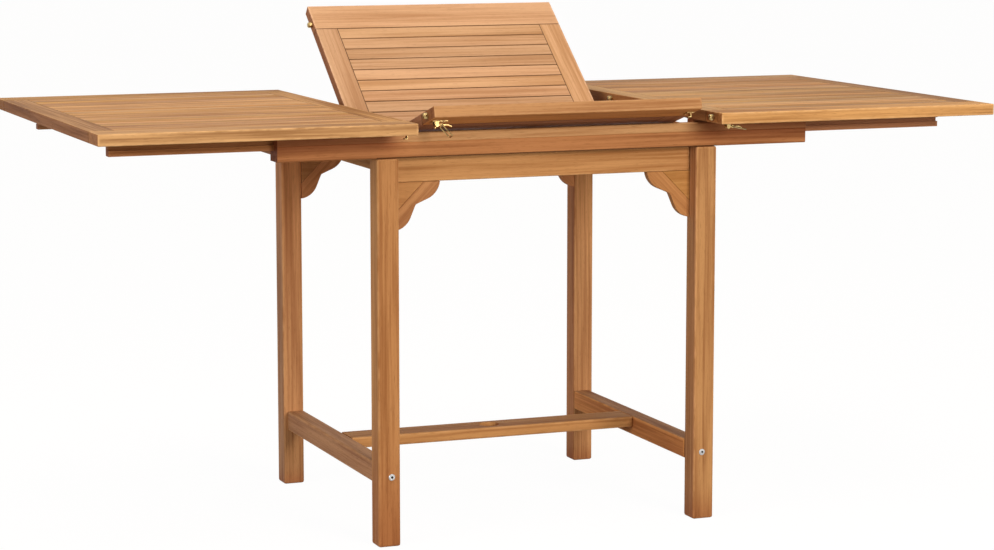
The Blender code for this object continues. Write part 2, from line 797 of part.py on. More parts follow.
def make_fold_hinges(panels):
    """Two hinges whose pins lie on the line where the panels' top faces meet."""
    deep = FOLD_GAP / 2 + HINGE_PLATE + JOINT_GAP
    height = HINGE_DROP + JOINT_GAP + CUT_PAST
    for side, x_sign in SIDES:
        x = x_sign * HINGE_X
        for end, y_sign, parent, slats in panels:
            recess = box_mesh((HINGE_LENGTH + 2 * JOINT_GAP, 2 * deep, height))
            cut(slats, recess, (x, 0, TABLE_HEIGHT + CUT_PAST - height / 2), parent)
            relief = rod_mesh(KNUCKLE_RADIUS + SLIDE_GAP, HINGE_LENGTH + 4 * JOINT_GAP, "X")
            cut(slats, relief, (x, 0, TABLE_HEIGHT), parent)
            make_hinge_leaf(f"fold_hinge_{end}_{side}", x, y_sign, parent)


def make_pin(name, holder, x, y, parent=None):
    """A round-nosed alignment pin that stands out of an edge along -X."""
    profile = [
        (PIN_RADIUS * 0.55, PIN_OUT),
        (PIN_RADIUS * 0.88, PIN_OUT - PIN_RADIUS * 0.2),
        (PIN_RADIUS, PIN_OUT - PIN_RADIUS * 0.5),
        (PIN_RADIUS, -PIN_IN),
    ]
    mesh = turned_mesh(profile)
    mesh.transform(Matrix.Rotation(-math.pi / 2, 4, "Y"))
    finish(name, mesh, (x, y, MID_TOP), BRASS, parent, smooth=True)
    drill(holder, x, y, PIN_RADIUS + JOINT_GAP, PIN_IN + JOINT_GAP, parent)


def drill(holder, x, y, radius, depth, parent=None):
    """A hole into an edge that faces along X."""
    cut(holder, rod_mesh(radius, 2 * depth, "X"), (x, y, MID_TOP), parent)


def make_alignment_pins(left, right, front, back, pivot, fold):
    """Pins on the leaf's left edge and the right half's edge, with a socket for each."""
    edge = LEAF_WIDTH / 2
    make_pin("front_panel_pin", front["board"], -edge, -PIN_FRONT, fold)
    make_pin("back_panel_pin", back["board"], -edge, PIN_BACK, pivot)
    make_pin("right_half_pin_front", right["front"], HALF_INNER, -PIN_FRONT)
    make_pin("right_half_pin_middle", right["slats"], HALF_INNER, PIN_MIDDLE)
    bore = PIN_RADIUS + SOCKET_SLACK
    drill(left["front"], -HALF_INNER, -PIN_FRONT, bore, SOCKET_DEPTH)
    drill(left["back"], -HALF_INNER, PIN_BACK, bore, SOCKET_DEPTH)
    drill(front["board"], edge, -PIN_FRONT, bore, SOCKET_DEPTH, fold)
    drill(back["slats"], edge, PIN_MIDDLE, bore, SOCKET_DEPTH, pivot)


def ear_outline():
    """Side of a latch ear: round below the lever's axis, up to the middle of the plate."""
    top = LEVER_AXIS_DROP + LATCH_PLATE / 2
    return [(EAR_RADIUS, top), (-EAR_RADIUS, top), *arc((0, 0), EAR_RADIUS, math.pi, 2 * math.pi, 8)]


def make_latch_base(name, x, y, parent):
    """A plate under the board with two ears; the lever's axis is at x."""
    axis_z = FITTING_TOP - LATCH_PLATE - LEVER_AXIS_DROP
    plate = box_mesh((LATCH_LENGTH, LATCH_WIDTH, LATCH_PLATE))
    middle = x - LEVER_SETBACK + LATCH_LENGTH / 2
    base = finish(name, plate, (middle, y, FITTING_TOP - LATCH_PLATE / 2), BRASS, parent)
    for y_sign in (-1, 1):
        ear = prism_mesh([ear_outline()], EAR_THICKNESS, "Y")
        join(base, ear, (x, y + y_sign * (EAR_GAP + EAR_THICKNESS) / 2, axis_z), parent)
    bore = rod_mesh(LEVER_PIN_RADIUS + TURN_GAP, LATCH_WIDTH, "Y", SMALL_SIDES)
    cut(base, bore, (x, y, axis_z), parent)
    return axis_z


def make_latch_lever(name, x, y, z, parent):
    """A lever that lies shut along +X: barrel on the axis, boss for the bail, turned-down tip."""
    thick = LEVER_THICKNESS / 2
    knee = LEVER_LENGTH - 2 * LEVER_TIP_DROP
    arm = [
        (0, thick),
        (knee, thick),
        (LEVER_LENGTH, thick - LEVER_TIP_DROP),
        (LEVER_LENGTH, -thick - LEVER_TIP_DROP),
        (knee, -thick),
        (0, -thick),
    ]
    lever = finish(name, prism_mesh([arm], LEVER_WIDTH, "Y"), (x, y, z), BRASS, parent)
    barrel = EAR_GAP - 2 * SLIDE_GAP
    pin = EAR_GAP + 2 * EAR_THICKNESS
    boss = (x + BAIL_ARM, y, z)
    join(lever, rod_mesh(LEVER_BARREL, barrel, "Y", SMALL_SIDES), (x, y, z), parent)
    join(lever, rod_mesh(LEVER_PIN_RADIUS, pin, "Y", SMALL_SIDES), (x, y, z), parent)
    join(lever, rod_mesh(BAIL_BOSS, barrel, "Y", SMALL_SIDES), boss, parent)
    cut(lever, rod_mesh(BAIL_WIRE + TURN_GAP, pin, "Y", SMALL_SIDES), boss, parent)
    return lever


def make_latch_bail(name, lever, hang_angle):
    """A wire loop whose two ends turn in the lever's boss."""
    side = BAIL_WIDTH / 2 - BAIL_CORNER
    near = arc((BAIL_CORNER, side), BAIL_CORNER, math.pi, math.pi / 2, 4)
    far = arc((BAIL_LENGTH - BAIL_CORNER, side), BAIL_CORNER, math.pi / 2, 0, 4)
    half = [(0, BAIL_END_GAP / 2), *near, *far]
    loop = half + [(u, -v) for u, v in reversed(half)]
    mesh = wire_mesh([(u, v, 0) for u, v in loop], BAIL_WIRE)
    x, y, z = lever["flat_place"]
    bail = finish(name, mesh, (x + BAIL_ARM, y, z), BRASS, lever, smooth=True)
    bail.rotation_euler.y = hang_angle


def make_latch(owner, x, y, hang_angle, parent=None):
    """A draw latch under a board, with its plate's outer end at x."""
    axis_x = x + LEVER_SETBACK
    axis_z = make_latch_base(f"{owner}_latch_base", axis_x, y, parent)
    lever = make_latch_lever(f"{owner}_latch_lever", axis_x, y, axis_z, parent)
    make_latch_bail(f"{owner}_latch_bail", lever, hang_angle)


def make_catch(name, x, y, parent=None):
    """A plate with a hook for a bail that pulls along +X; x is the plate's near end."""
    low = -CATCH_DROP
    leg = -CATCH_LENGTH / 3
    back = leg - LATCH_PLATE
    root = -LATCH_PLATE / 2
    hook = [
        (leg, root),
        (leg, low),
        (back - CATCH_LIP, low),
        (back - CATCH_LIP, low + LATCH_PLATE),
        (back, low + LATCH_PLATE),
        (back, root),
    ]
    plate = box_mesh((CATCH_LENGTH, LATCH_WIDTH, LATCH_PLATE))
    place = (x - CATCH_LENGTH / 2, y, FITTING_TOP - LATCH_PLATE / 2)
    catch = finish(name, plate, place, BRASS, parent)
    join(catch, prism_mesh([hook], CATCH_WIDTH, "Y"), (x, y, FITTING_TOP), parent)


def make_latches(fold):
    """A latch under the leaf's left end, one under the right half, and a catch for each."""
    edge = LEAF_WIDTH / 2
    make_latch("front_panel", LATCH_INSET_LEAF - edge, -LATCH_Y, LEAF_BAIL_HANG, fold)
    make_catch("left_half_catch", -HALF_INNER - CATCH_INSET, -LATCH_Y)
    make_latch("right_half", HALF_INNER + LATCH_INSET_HALF, -LATCH_Y, HALF_BAIL_HANG)
    make_catch("front_panel_catch", edge - CATCH_INSET, -LATCH_Y, fold)


def front_panel_tilt():
    """Slope of the front panel that lies over the guide strip's inner top edge at rest."""
    fold_y = PIVOT_Y - PIVOT_Y * math.cos(BACK_PANEL_RAISED) - PIVOT_DROP * math.sin(BACK_PANEL_RAISED)
    fold_z = PIVOT_Z - PIVOT_Y * math.sin(BACK_PANEL_RAISED) + PIVOT_DROP * math.cos(BACK_PANEL_RAISED)
    run = fold_y + LEG_Y - GUIDE_WIDTH + RAIL_EASE
    rise = RAIL_TOP - fold_z
    return math.atan2(rise, run) + math.asin((TOP_THICKNESS + REST_CLEAR) / math.hypot(run, rise))


def make_leaf(left, right):
    """The butterfly leaf: the back panel on the pivot, the front panel on the fold."""
    pivot = axis_empty("leaf_pivot_axis", (0, PIVOT_Y, PIVOT_Z))
    fold = axis_empty("leaf_fold_axis", (0, 0, TABLE_HEIGHT), pivot)
    front = make_panel("front", -1, fold)
    back = make_panel("back", 1, pivot)
    make_cleats(pivot)
    make_batten(fold)
    make_fold_hinges((("front", -1, fold, front["slats"]), ("back", 1, pivot, back["slats"])))
    make_alignment_pins(left, right, front, back, pivot, fold)
    make_latches(fold)
    pivot.rotation_euler.x = BACK_PANEL_RAISED
    fold.rotation_euler.x = -BACK_PANEL_RAISED - front_panel_tilt()


make_legs()
make_bolts()
make_aprons()
make_brackets()
make_stretchers()
make_rails()
make_pivot_bars()
make_leaf(make_half("left", -1), make_half("right", 1))
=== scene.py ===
import math

import bpy
import numpy as np
from mathutils import Matrix, Vector


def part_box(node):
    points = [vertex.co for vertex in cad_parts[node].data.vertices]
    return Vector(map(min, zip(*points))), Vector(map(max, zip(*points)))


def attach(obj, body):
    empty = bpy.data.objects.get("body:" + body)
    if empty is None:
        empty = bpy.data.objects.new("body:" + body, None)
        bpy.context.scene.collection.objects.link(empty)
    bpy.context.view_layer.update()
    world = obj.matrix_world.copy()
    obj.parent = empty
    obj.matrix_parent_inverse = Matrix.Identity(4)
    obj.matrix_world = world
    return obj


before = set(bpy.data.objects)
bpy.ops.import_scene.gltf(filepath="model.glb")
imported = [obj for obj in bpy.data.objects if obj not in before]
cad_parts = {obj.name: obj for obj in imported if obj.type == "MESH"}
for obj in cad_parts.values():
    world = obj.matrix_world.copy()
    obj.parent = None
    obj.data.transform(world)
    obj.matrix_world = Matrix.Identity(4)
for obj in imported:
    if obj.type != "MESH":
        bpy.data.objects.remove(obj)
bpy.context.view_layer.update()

# The view.
# A long lens stands five metres off, to the left of the table and a little above its top.
look_down = 8.14
look_right = 21.44
camera_data = bpy.data.cameras.new("long_lens")
camera_data.sensor_width = 36.0
camera_data.lens = 102.67
camera = bpy.data.objects.new("camera", camera_data)
camera.location = (-1.8972, -4.8716, 1.1728)
camera.rotation_euler = (math.radians(90 - look_down), 0, math.radians(-look_right))
bpy.context.scene.collection.objects.link(camera)
bpy.context.scene.camera = camera
bpy.context.scene.view_settings.view_transform = "Standard"


# The studio.
# A white floor without an edge, a soft box to the right of the camera, one overhead, and a weak
# fill from the left, so that faces turned to the left stay darker.
def add(tree, kind, **settings):
    """A new node with some of its settings changed."""
    made = tree.nodes.new(kind)
    for name, value in settings.items():
        setattr(made, name, value)
    return made


def feed(tree, socket, value):
    """Joins a socket to another, or gives it a plain value."""
    if isinstance(value, bpy.types.NodeSocket):
        tree.links.new(value, socket)
    else:
        socket.default_value = value


def calc(tree, operation, *values):
    """One step of arithmetic on numbers."""
    made = add(tree, "ShaderNodeMath", operation=operation)
    for socket, value in zip(made.inputs, values):
        feed(tree, socket, value)
    return made.outputs[0]


def seen_straight(tree):
    """One for rays from the camera and for what shows in metal, zero for light on surfaces."""
    path = add(tree, "ShaderNodeLightPath")
    plain = calc(tree, "MAXIMUM", path.outputs["Is Camera Ray"], path.outputs["Is Glossy Ray"])
    return calc(tree, "MAXIMUM", plain, path.outputs["Is Transmission Ray"])


def mix_shaders(tree, share, first, second):
    """The first shader where the share is zero, the second where it is one."""
    made = add(tree, "ShaderNodeMixShader")
    for socket, value in zip(made.inputs, (share, first, second)):
        tree.links.new(value, socket)
    return made.outputs[0]


ambient_level = 0.40
world = bpy.data.worlds.new("studio_air")
world.use_nodes = True
bpy.context.scene.world = world
air = world.node_tree
air.nodes.clear()
soft = add(air, "ShaderNodeBackground")
soft.inputs["Color"].default_value = (1.0, 0.94, 0.86, 1)
soft.inputs["Strength"].default_value = ambient_level
white = add(air, "ShaderNodeBackground")
white.inputs["Color"].default_value = (1, 1, 1, 1)
sky = mix_shaders(air, seen_straight(air), soft.outputs[0], white.outputs[0])
air.links.new(sky, add(air, "ShaderNodeOutputWorld").inputs["Surface"])

floor_reach = 45.0
floor_glow = 1.24
shadow_share = 0.22
corners = np.array([[-1, -1, 0], [1, -1, 0], [1, 1, 0], [-1, 1, 0]]) * floor_reach
floor_mesh = bpy.data.meshes.new("floor")
floor_mesh.from_pydata(corners.tolist(), [], [(0, 1, 2, 3)])
floor = bpy.data.objects.new("floor", floor_mesh)
bpy.context.scene.collection.objects.link(floor)
paper = bpy.data.materials.new("white_floor")
paper.use_nodes = True
sheet = paper.node_tree
sheet.nodes.clear()
matt = add(sheet, "ShaderNodeBsdfDiffuse")
matt.inputs["Color"].default_value = (0.22, 0.19, 0.16, 1)
glow = add(sheet, "ShaderNodeEmission")
glow.inputs["Strength"].default_value = floor_glow
glow_share = calc(sheet, "MULTIPLY", seen_straight(sheet), 1 - shadow_share)
from_above = mix_shaders(sheet, glow_share, matt.outputs[0], glow.outputs[0])
from_below = add(sheet, "ShaderNodeBsdfTransparent").outputs[0]
backfacing = add(sheet, "ShaderNodeNewGeometry").outputs["Backfacing"]
both_sides = mix_shaders(sheet, backfacing, from_above, from_below)
sheet.links.new(both_sides, add(sheet, "ShaderNodeOutputMaterial").inputs["Surface"])
floor_mesh.materials.append(paper)

table_middle = Vector((0, 0, 0.55))


def lamp(name, place, width, watts, colour):
    """A square soft box that faces the middle of the table."""
    data = bpy.data.lights.new(name, "AREA")
    data.size = width
    data.energy = watts
    data.color = colour
    made = bpy.data.objects.new(name, data)
    made.location = place
    made.rotation_euler = (table_middle - Vector(place)).to_track_quat("-Z", "Y").to_euler()
    bpy.context.scene.collection.objects.link(made)


lamp("key_box", (1.2, -5.6, 1.9), 1.8, 230, (1.0, 0.98, 0.95))
lamp("overhead_box", (-0.2, -0.8, 3.6), 2.0, 43, (1.0, 0.98, 0.95))
lamp("fill_box", (-4.5, -2.0, 1.6), 2.5, 115, (0.86, 0.93, 1.0))


# Legs.
# Four square posts of solid teak with planed faces and rounded edges, standing on their sawn
# ends. The grain runs up the post. Painted shade darkens the feet, painted light and shade tint
# the left faces, and painted light lifts the heads of the back posts.
def new_group(name, takes, gives):
    """An empty shader group with named sockets."""
    group = bpy.data.node_groups.new(name, "ShaderNodeTree")
    for socket, kind in takes.items():
        group.interface.new_socket(socket, in_out="INPUT", socket_type="NodeSocket" + kind)
    for socket, kind in gives.items():
        group.interface.new_socket(socket, in_out="OUTPUT", socket_type="NodeSocket" + kind)
    return group, add(group, "NodeGroupInput").outputs, add(group, "NodeGroupOutput").inputs


def use_group(tree, group, **values):
    """Places a group in a material; an underscore in a socket's name stands for a space."""
    made = add(tree, "ShaderNodeGroup", node_tree=group)
    for name, value in values.items():
        feed(tree, made.inputs[name.replace("_", " ")], value)
    return made.outputs


def vector_calc(tree, operation, *values):
    """One step of arithmetic on vectors."""
    made = add(tree, "ShaderNodeVectorMath", operation=operation)
    for socket, value in zip(made.inputs, values):
        feed(tree, socket, value)
    return made.outputs[0]


def split(tree, vector):
    """The three parts of a vector."""
    made = add(tree, "ShaderNodeSeparateXYZ")
    feed(tree, made.inputs[0], vector)
    return made.outputs


def join(tree, *parts):
    """A vector made of three numbers."""
    made = add(tree, "ShaderNodeCombineXYZ")
    for socket, part in zip(made.inputs, parts):
        feed(tree, socket, part)
    return made.outputs[0]


# The places of the two inputs and the output that a Mix node has for each kind of value.
mix_sockets = {"FLOAT": (2, 3, 0), "VECTOR": (4, 5, 1), "RGBA": (6, 7, 2)}


def mix(tree, kind, share, first, second, blend="MIX"):
    """A blend of two numbers, vectors or colours."""
    made = add(tree, "ShaderNodeMix", data_type=kind, blend_type=blend)
    first_place, second_place, result_place = mix_sockets[kind]
    feed(tree, made.inputs[0], share)
    feed(tree, made.inputs[first_place], first)
    feed(tree, made.inputs[second_place], second)
    return made.outputs[result_place]


def mix_colour(tree, share, first, second):
    """A blend of two colours."""
    return mix(tree, "RGBA", share, first, second)


def stain(tree, share, wood, tint):
    """The colour of wood times a tint, as far as the share says."""
    return mix(tree, "RGBA", share, wood, (*tint, 1), "MULTIPLY")


def between(tree, value, low, high):
    """Rises smoothly from zero at low to one at high."""
    made = add(tree, "ShaderNodeMapRange", interpolation_type="SMOOTHSTEP")
    for socket, number in zip(made.inputs, (value, low, high, 0.0, 1.0)):
        feed(tree, socket, number)
    return made.outputs[0]


def centred(tree, chance):
    """A number from zero to one, moved so that its middle is zero."""
    return calc(tree, "SUBTRACT", chance, 0.5)


def stretched_noise(tree, vector, stretch, detail):
    """Noise drawn out along the grain: small numbers in stretch make long marks."""
    made = add(tree, "ShaderNodeTexNoise")
    feed(tree, made.inputs["Vector"], vector_calc(tree, "MULTIPLY", vector, stretch))
    made.inputs["Scale"].default_value = 1.0
    made.inputs["Detail"].default_value = detail
    made.inputs["Roughness"].default_value = 0.55
    return made.outputs[0]


def make_teak_grain():
    """Teak in a board whose first axis lies along the grain, in metres.

    Year rings are saw-tooth steps of the distance from a heart outside the board, which
    wanders along the length. Broad shading, bands, streaks and short dark pores lie over them.
    Figure scales the rings, and Spread how far boards with different seeds differ in tone.
    """
    ring_width = 0.0085
    ring_mean = 0.27
    ring_weight = 0.34
    takes = {"Board": "Vector", "Seed": "Float", "Pale": "Color", "Deep": "Color"}
    takes.update({"Figure": "Float", "Spread": "Float"})
    gives = {"Color": "Color", "Roughness": "Float", "Height": "Float"}
    tree, given, result = new_group("teak_grain", takes, gives)
    seed = given["Seed"]
    shift = join(tree, *(calc(tree, "MULTIPLY", seed, step) for step in (3.17, 0.71, 0.37)))
    spot = vector_calc(tree, "ADD", given["Board"], shift)
    broad = stretched_noise(tree, spot, (2.0, 24, 24), 2)
    wander = stretched_noise(tree, spot, (1.3, 10, 10), 1)
    band = stretched_noise(tree, spot, (2.5, 75, 75), 2)
    streak = stretched_noise(tree, spot, (5.0, 230, 230), 3)
    fibre = stretched_noise(tree, spot, (60, 1300, 1300), 1)
    draw = add(tree, "ShaderNodeTexWhiteNoise", noise_dimensions="1D")
    feed(tree, draw.inputs["W"], seed)
    chances = add(tree, "ShaderNodeSeparateColor")
    feed(tree, chances.inputs[0], draw.outputs["Color"])
    first_chance, second_chance, third_chance = chances.outputs
    along, across, through = split(tree, given["Board"])
    across = calc(tree, "MULTIPLY_ADD", centred(tree, first_chance), 0.10, across)
    through = calc(tree, "ADD", calc(tree, "MULTIPLY_ADD", second_chance, 0.05, 0.02), through)
    across_squared = calc(tree, "MULTIPLY", across, across)
    through_squared = calc(tree, "MULTIPLY", through, through)
    heart = calc(tree, "SQRT", calc(tree, "ADD", across_squared, through_squared))
    lean = calc(tree, "MULTIPLY", centred(tree, third_chance), 0.035)
    heart = calc(tree, "MULTIPLY_ADD", along, lean, heart)
    heart = calc(tree, "MULTIPLY_ADD", centred(tree, wander), 0.026, heart)
    ring = calc(tree, "POWER", calc(tree, "FRACT", calc(tree, "DIVIDE", heart, ring_width)), 2.6)
    figure = calc(tree, "MULTIPLY", given["Figure"], ring_weight)
    deep = calc(tree, "MULTIPLY", calc(tree, "SUBTRACT", ring, ring_mean), figure)
    for layer, weight in ((broad, 2.0), (band, 1.6), (streak, 1.7)):
        deep = calc(tree, "MULTIPLY_ADD", centred(tree, layer), weight, deep)
    deep = between(tree, calc(tree, "ADD", deep, 0.40), -0.12, 1.12)
    pore = between(tree, fibre, 0.60, 0.74)
    wood = mix_colour(tree, deep, given["Pale"], given["Deep"])
    dark_pore = mix_colour(tree, 0.55, given["Deep"], (0.03, 0.012, 0.004, 1))
    wood = mix_colour(tree, calc(tree, "MULTIPLY", pore, 0.4), wood, dark_pore)
    tone = add(tree, "ShaderNodeHueSaturation")
    for socket, chance, scale, centre in (
        ("Hue", second_chance, 0.010, 0.5),
        ("Saturation", third_chance, 0.12, 1),
        ("Value", first_chance, 0.24, 1),
    ):
        off_centre = calc(tree, "MULTIPLY", centred(tree, chance), given["Spread"])
        feed(tree, tone.inputs[socket], calc(tree, "MULTIPLY_ADD", off_centre, scale, centre))
    feed(tree, tone.inputs["Color"], wood)
    feed(tree, result["Color"], tone.outputs[0])
    rough = calc(tree, "MULTIPLY_ADD", streak, 0.25, 0.48)
    feed(tree, result["Roughness"], calc(tree, "MULTIPLY_ADD", pore, 0.15, rough))
    relief = calc(tree, "MULTIPLY_ADD", ring, 0.25, streak)
    feed(tree, result["Height"], calc(tree, "MULTIPLY_ADD", pore, -0.6, relief))
    return tree


def make_worn_highlit_edges():
    """Nearness to the edges of a box-shaped board.

    The distance to an edge is the second smallest of the distances to the three pairs of
    faces. The mask fades over the given width and is broken up by noise.
    """
    takes = {"Board": "Vector", "Half size": "Vector", "Width": "Float"}
    tree, given, result = new_group("worn_highlit_edges", takes, {"Edge": "Float"})
    from_middle = vector_calc(tree, "ABSOLUTE", given["Board"])
    x, y, z = split(tree, vector_calc(tree, "SUBTRACT", given["Half size"], from_middle))
    lower = calc(tree, "MINIMUM", calc(tree, "MAXIMUM", x, y), z)
    second = calc(tree, "MAXIMUM", calc(tree, "MINIMUM", x, y), lower)
    fade = between(tree, second, given["Width"], 0.0)
    patchy = stretched_noise(tree, given["Board"], (35, 120, 120), 2)
    feed(tree, result["Edge"], calc(tree, "MULTIPLY", fade, between(tree, patchy, 0.25, 0.7)))
    return tree


teak_grain = make_teak_grain()
worn_highlit_edges = make_worn_highlit_edges()
grain_turns = {
    "X": Matrix.Identity(3),
    "Y": Matrix.Rotation(math.radians(90), 3, "Z"),
    "Z": Matrix.Rotation(math.radians(-90), 3, "Y"),
}


def board_frame(nodes, grain, tilt=0.0):
    """Middle, axes and half sizes of the box round some boards, its first axis along the grain."""
    turn = Matrix.Rotation(tilt, 3, "X") @ grain_turns[grain]
    corners = []
    for node in nodes:
        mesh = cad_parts[node].data
        points = np.empty(len(mesh.vertices) * 3)
        mesh.vertices.foreach_get("co", points)
        points = points.reshape(-1, 3) @ np.array(turn)
        corners += [points.min(0), points.max(0)]
    low, high = np.min(corners, axis=0), np.max(corners, axis=0)
    return turn @ Vector((low + high) / 2), turn, (high - low) / 2


def new_material(name, gloss):
    """A material with its tree and its shader; gloss sets how strongly it mirrors."""
    made = bpy.data.materials.new(name)
    made.use_nodes = True
    shader = made.node_tree.nodes["Principled BSDF"]
    shader.inputs["Specular IOR Level"].default_value = gloss
    return made, made.node_tree, shader


def board_spot(tree, middle, turn):
    """Object coordinates seen from the board's own middle and axes."""
    made = add(tree, "ShaderNodeMapping", vector_type="TEXTURE")
    made.inputs["Location"].default_value = middle
    made.inputs["Rotation"].default_value = turn.to_euler("XYZ")
    tree.links.new(add(tree, "ShaderNodeTexCoord").outputs["Object"], made.inputs["Vector"])
    return made.outputs[0]


def facing(tree, turn):
    """Where a face points, along the board's own three axes."""
    made = add(tree, "ShaderNodeMapping", vector_type="TEXTURE")
    made.inputs["Rotation"].default_value = turn.to_euler("XYZ")
    tree.links.new(add(tree, "ShaderNodeTexCoord").outputs["Normal"], made.inputs["Vector"])
    return split(tree, made.outputs[0])


slanted_face = 0.75
square_face = 0.95
sawn_stain = (0.60, 0.45, 0.38)


def stain_sawn_ends(tree, turn, wood, share=1.0):
    """Darkens the faces square to the grain, where the wood drinks the most oil."""
    along = calc(tree, "ABSOLUTE", facing(tree, turn)[0])
    sawn = between(tree, along, slanted_face, square_face)
    return stain(tree, calc(tree, "MULTIPLY", sawn, share), wood, sawn_stain)


def paint_face_light(tree, turn, wood, face, tint):
    """Tints the face that looks along one axis of the board with painted light and shade; face is that axis
    and its sense.
    """
    axis, sense = face
    along = calc(tree, "MULTIPLY", facing(tree, turn)[axis], sense)
    return stain(tree, between(tree, along, slanted_face, square_face), wood, tint)


def roughen(tree, shader, height, distance):
    """Bump from a height that a group worked out."""
    bump = add(tree, "ShaderNodeBump")
    bump.inputs["Strength"].default_value = 0.35
    bump.inputs["Distance"].default_value = distance
    feed(tree, bump.inputs["Height"], height)
    tree.links.new(bump.outputs[0], shader.inputs["Normal"])


def toned(colour, *shares):
    """A colour made lighter or darker, by one share or by one for each of red, green and blue."""
    each = shares if len(shares) > 1 else shares * 3
    return tuple(part * share for part, share in zip(colour, each))


def lighter(colour):
    """The tone of wood where handling has rubbed the oil off, made paler as a painted highlight."""
    return (*toned(colour, 1.2, 1.3, 1.5), 1)


grain_depth = 0.0004


def finish_wood(node, material, tree, shader, wood, colour):
    """Joins colour, roughness and relief to the shader, and puts the material on the node."""
    feed(tree, shader.inputs["Base Color"], colour)
    feed(tree, shader.inputs["Roughness"], wood["Roughness"])
    roughen(tree, shader, wood["Height"], grain_depth)
    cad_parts[node].material_slots[0].material = material


# One dark colour, for old dirt in joints and for painted shade.
dirt_and_shade_colour = (0.06, 0.026, 0.010, 1)


def dirt_and_shade(tree, mask, share, wood):
    """The colour of wood darkened where the mask is one, as thick as the share says: old dirt in joints and
    glue lines, and painted shade along the rails' bottom edges and the slats' long edges.
    """
    return mix_colour(tree, calc(tree, "MULTIPLY", mask, share), wood, dirt_and_shade_colour)


# Outer edges are lightened for wear and as a painted highlight on their rounding.
rub_and_highlight_width = 0.0055
rub_and_highlight_share = 0.75
joint_width = 0.0012
joint_core = 0.0004
joint_share = 0.8


def rub_and_highlight_edges(tree, node, glued_to, grain, tilt, wood, pale):
    """The wood's colour, lighter along the outer edges of a glued-up plank from wear and a painted
    highlight, and dark in its joints.
    """
    own_middle, _, own_half = board_frame([node], grain, tilt)
    middle, turn, half = board_frame([node, *glued_to], grain, tilt)
    spot = board_spot(tree, middle, turn)
    edge = use_group(tree, worn_highlit_edges, Board=spot, Half_size=tuple(half), Width=rub_and_highlight_width)["Edge"]
    colour = mix_colour(tree, calc(tree, "MULTIPLY", edge, rub_and_highlight_share), wood["Color"], lighter(pale))
    across = split(tree, spot)[1]
    own_place = (turn.transposed() @ (own_middle - middle)).y
    for side in (own_place - own_half[1], own_place + own_half[1]):
        if half[1] - abs(side) > rub_and_highlight_width:
            off_joint = calc(tree, "ABSOLUTE", calc(tree, "SUBTRACT", across, side))
            line = between(tree, off_joint, joint_width, joint_core)
            colour = dirt_and_shade(tree, line, joint_share, colour)
    return colour


oiled_gloss = 0.10
# A tint of painted shade, for the low ends of posts near the floor and the undersides of the half tops.
under_and_foot_shade = (0.76, 0.62, 0.58)
# How far down from its high end painted light lifts a post.
lit_head_reach = 0.30


def dress_board(
    node, grain, seed, pale, deep, figure=1.0, tilt=0.0, foot_shade=0.0, lit_head=None, glued_to=(), face_light=None
):
    """Gives a board its own piece of teak.

    foot_shade is how far up from its low end painted shade darkens it near the floor, lit_head the
    tint of painted light on its high end, glued_to the boards that make one plank with it, and
    face_light one of its faces and the painted light and shade on that face.
    """
    middle, turn, half = board_frame([node], grain, tilt)
    material, tree, shader = new_material("teak_" + node, oiled_gloss)
    spot = board_spot(tree, middle, turn)
    wood = use_group(
        tree, teak_grain, Board=spot, Seed=seed, Pale=(*pale, 1), Deep=(*deep, 1), Figure=figure, Spread=1.0
    )
    colour = rub_and_highlight_edges(tree, node, glued_to, grain, tilt, wood, pale)
    # Painted light and shade on one face.
    if face_light:
        colour = paint_face_light(tree, turn, colour, *face_light)
    along = split(tree, spot)[0]
    # Painted shade near the floor, darkest at the low end.
    if foot_shade:
        colour = stain(tree, between(tree, along, foot_shade - half[0], -half[0]), colour, under_and_foot_shade)
    # Painted light on the high end.
    if lit_head:
        colour = stain(tree, between(tree, along, half[0] - lit_head_reach, half[0]), colour, lit_head)
    finish_wood(node, material, tree, shader, wood, stain_sawn_ends(tree, turn, colour))


ends = ("front", "back")
sides = ("left", "right")
post_pale = (0.540, 0.250, 0.088)
post_deep = (0.330, 0.126, 0.038)
post_left_face = (2, 1)
# Each post's seed, shade, painted light and shade on its left face, length of painted shade at its foot,
# and painted light on its head.
posts = {
    "front_left": (5, 0.90, (1.21, 1.27, 1.35), 0.26, None),
    "front_right": (4, 1.06, (1.0, 0.92, 1.0), 0.07, None),
    "back_left": (7, 1.02, (0.85, 0.90, 1.10), 0.04, (1.65, 1.52, 1.5)),
    "back_right": (6, 1.07, (0.83, 0.70, 0.72), 0.04, (1.1, 1.06, 1.0)),
}
for place, (seed, shade, left_face_light, foot_shade, head_light) in posts.items():
    dress_board(
        f"leg_{place}",
        "Z",
        seed,
        toned(post_pale, shade),
        toned(post_deep, shade),
        foot_shade=foot_shade,
        lit_head=head_light,
        face_light=(post_left_face, left_face_light),
    )


# Stretchers.
# Two side stretchers of teak bolted between the legs, and a flat one tenoned between them that
# keeps the frame square. Its hole takes a parasol pole.
stretcher_pale = (0.560, 0.265, 0.092)
stretcher_deep = (0.340, 0.132, 0.040)
stretcher_left_face = (1, 1)
# Painted light and shade on each side stretcher's left face.
stretcher_left_face_lights = ((0.94, 0.90, 0.92), (1.40, 1.14, 0.82))
for column, side in enumerate(sides):
    dress_board(
        f"side_stretcher_{side}",
        "Y",
        11 + column,
        stretcher_pale,
        stretcher_deep,
        figure=0.5,
        face_light=(stretcher_left_face, stretcher_left_face_lights[column]),
    )
dress_board("centre_stretcher", "X", 14, stretcher_pale, stretcher_deep)


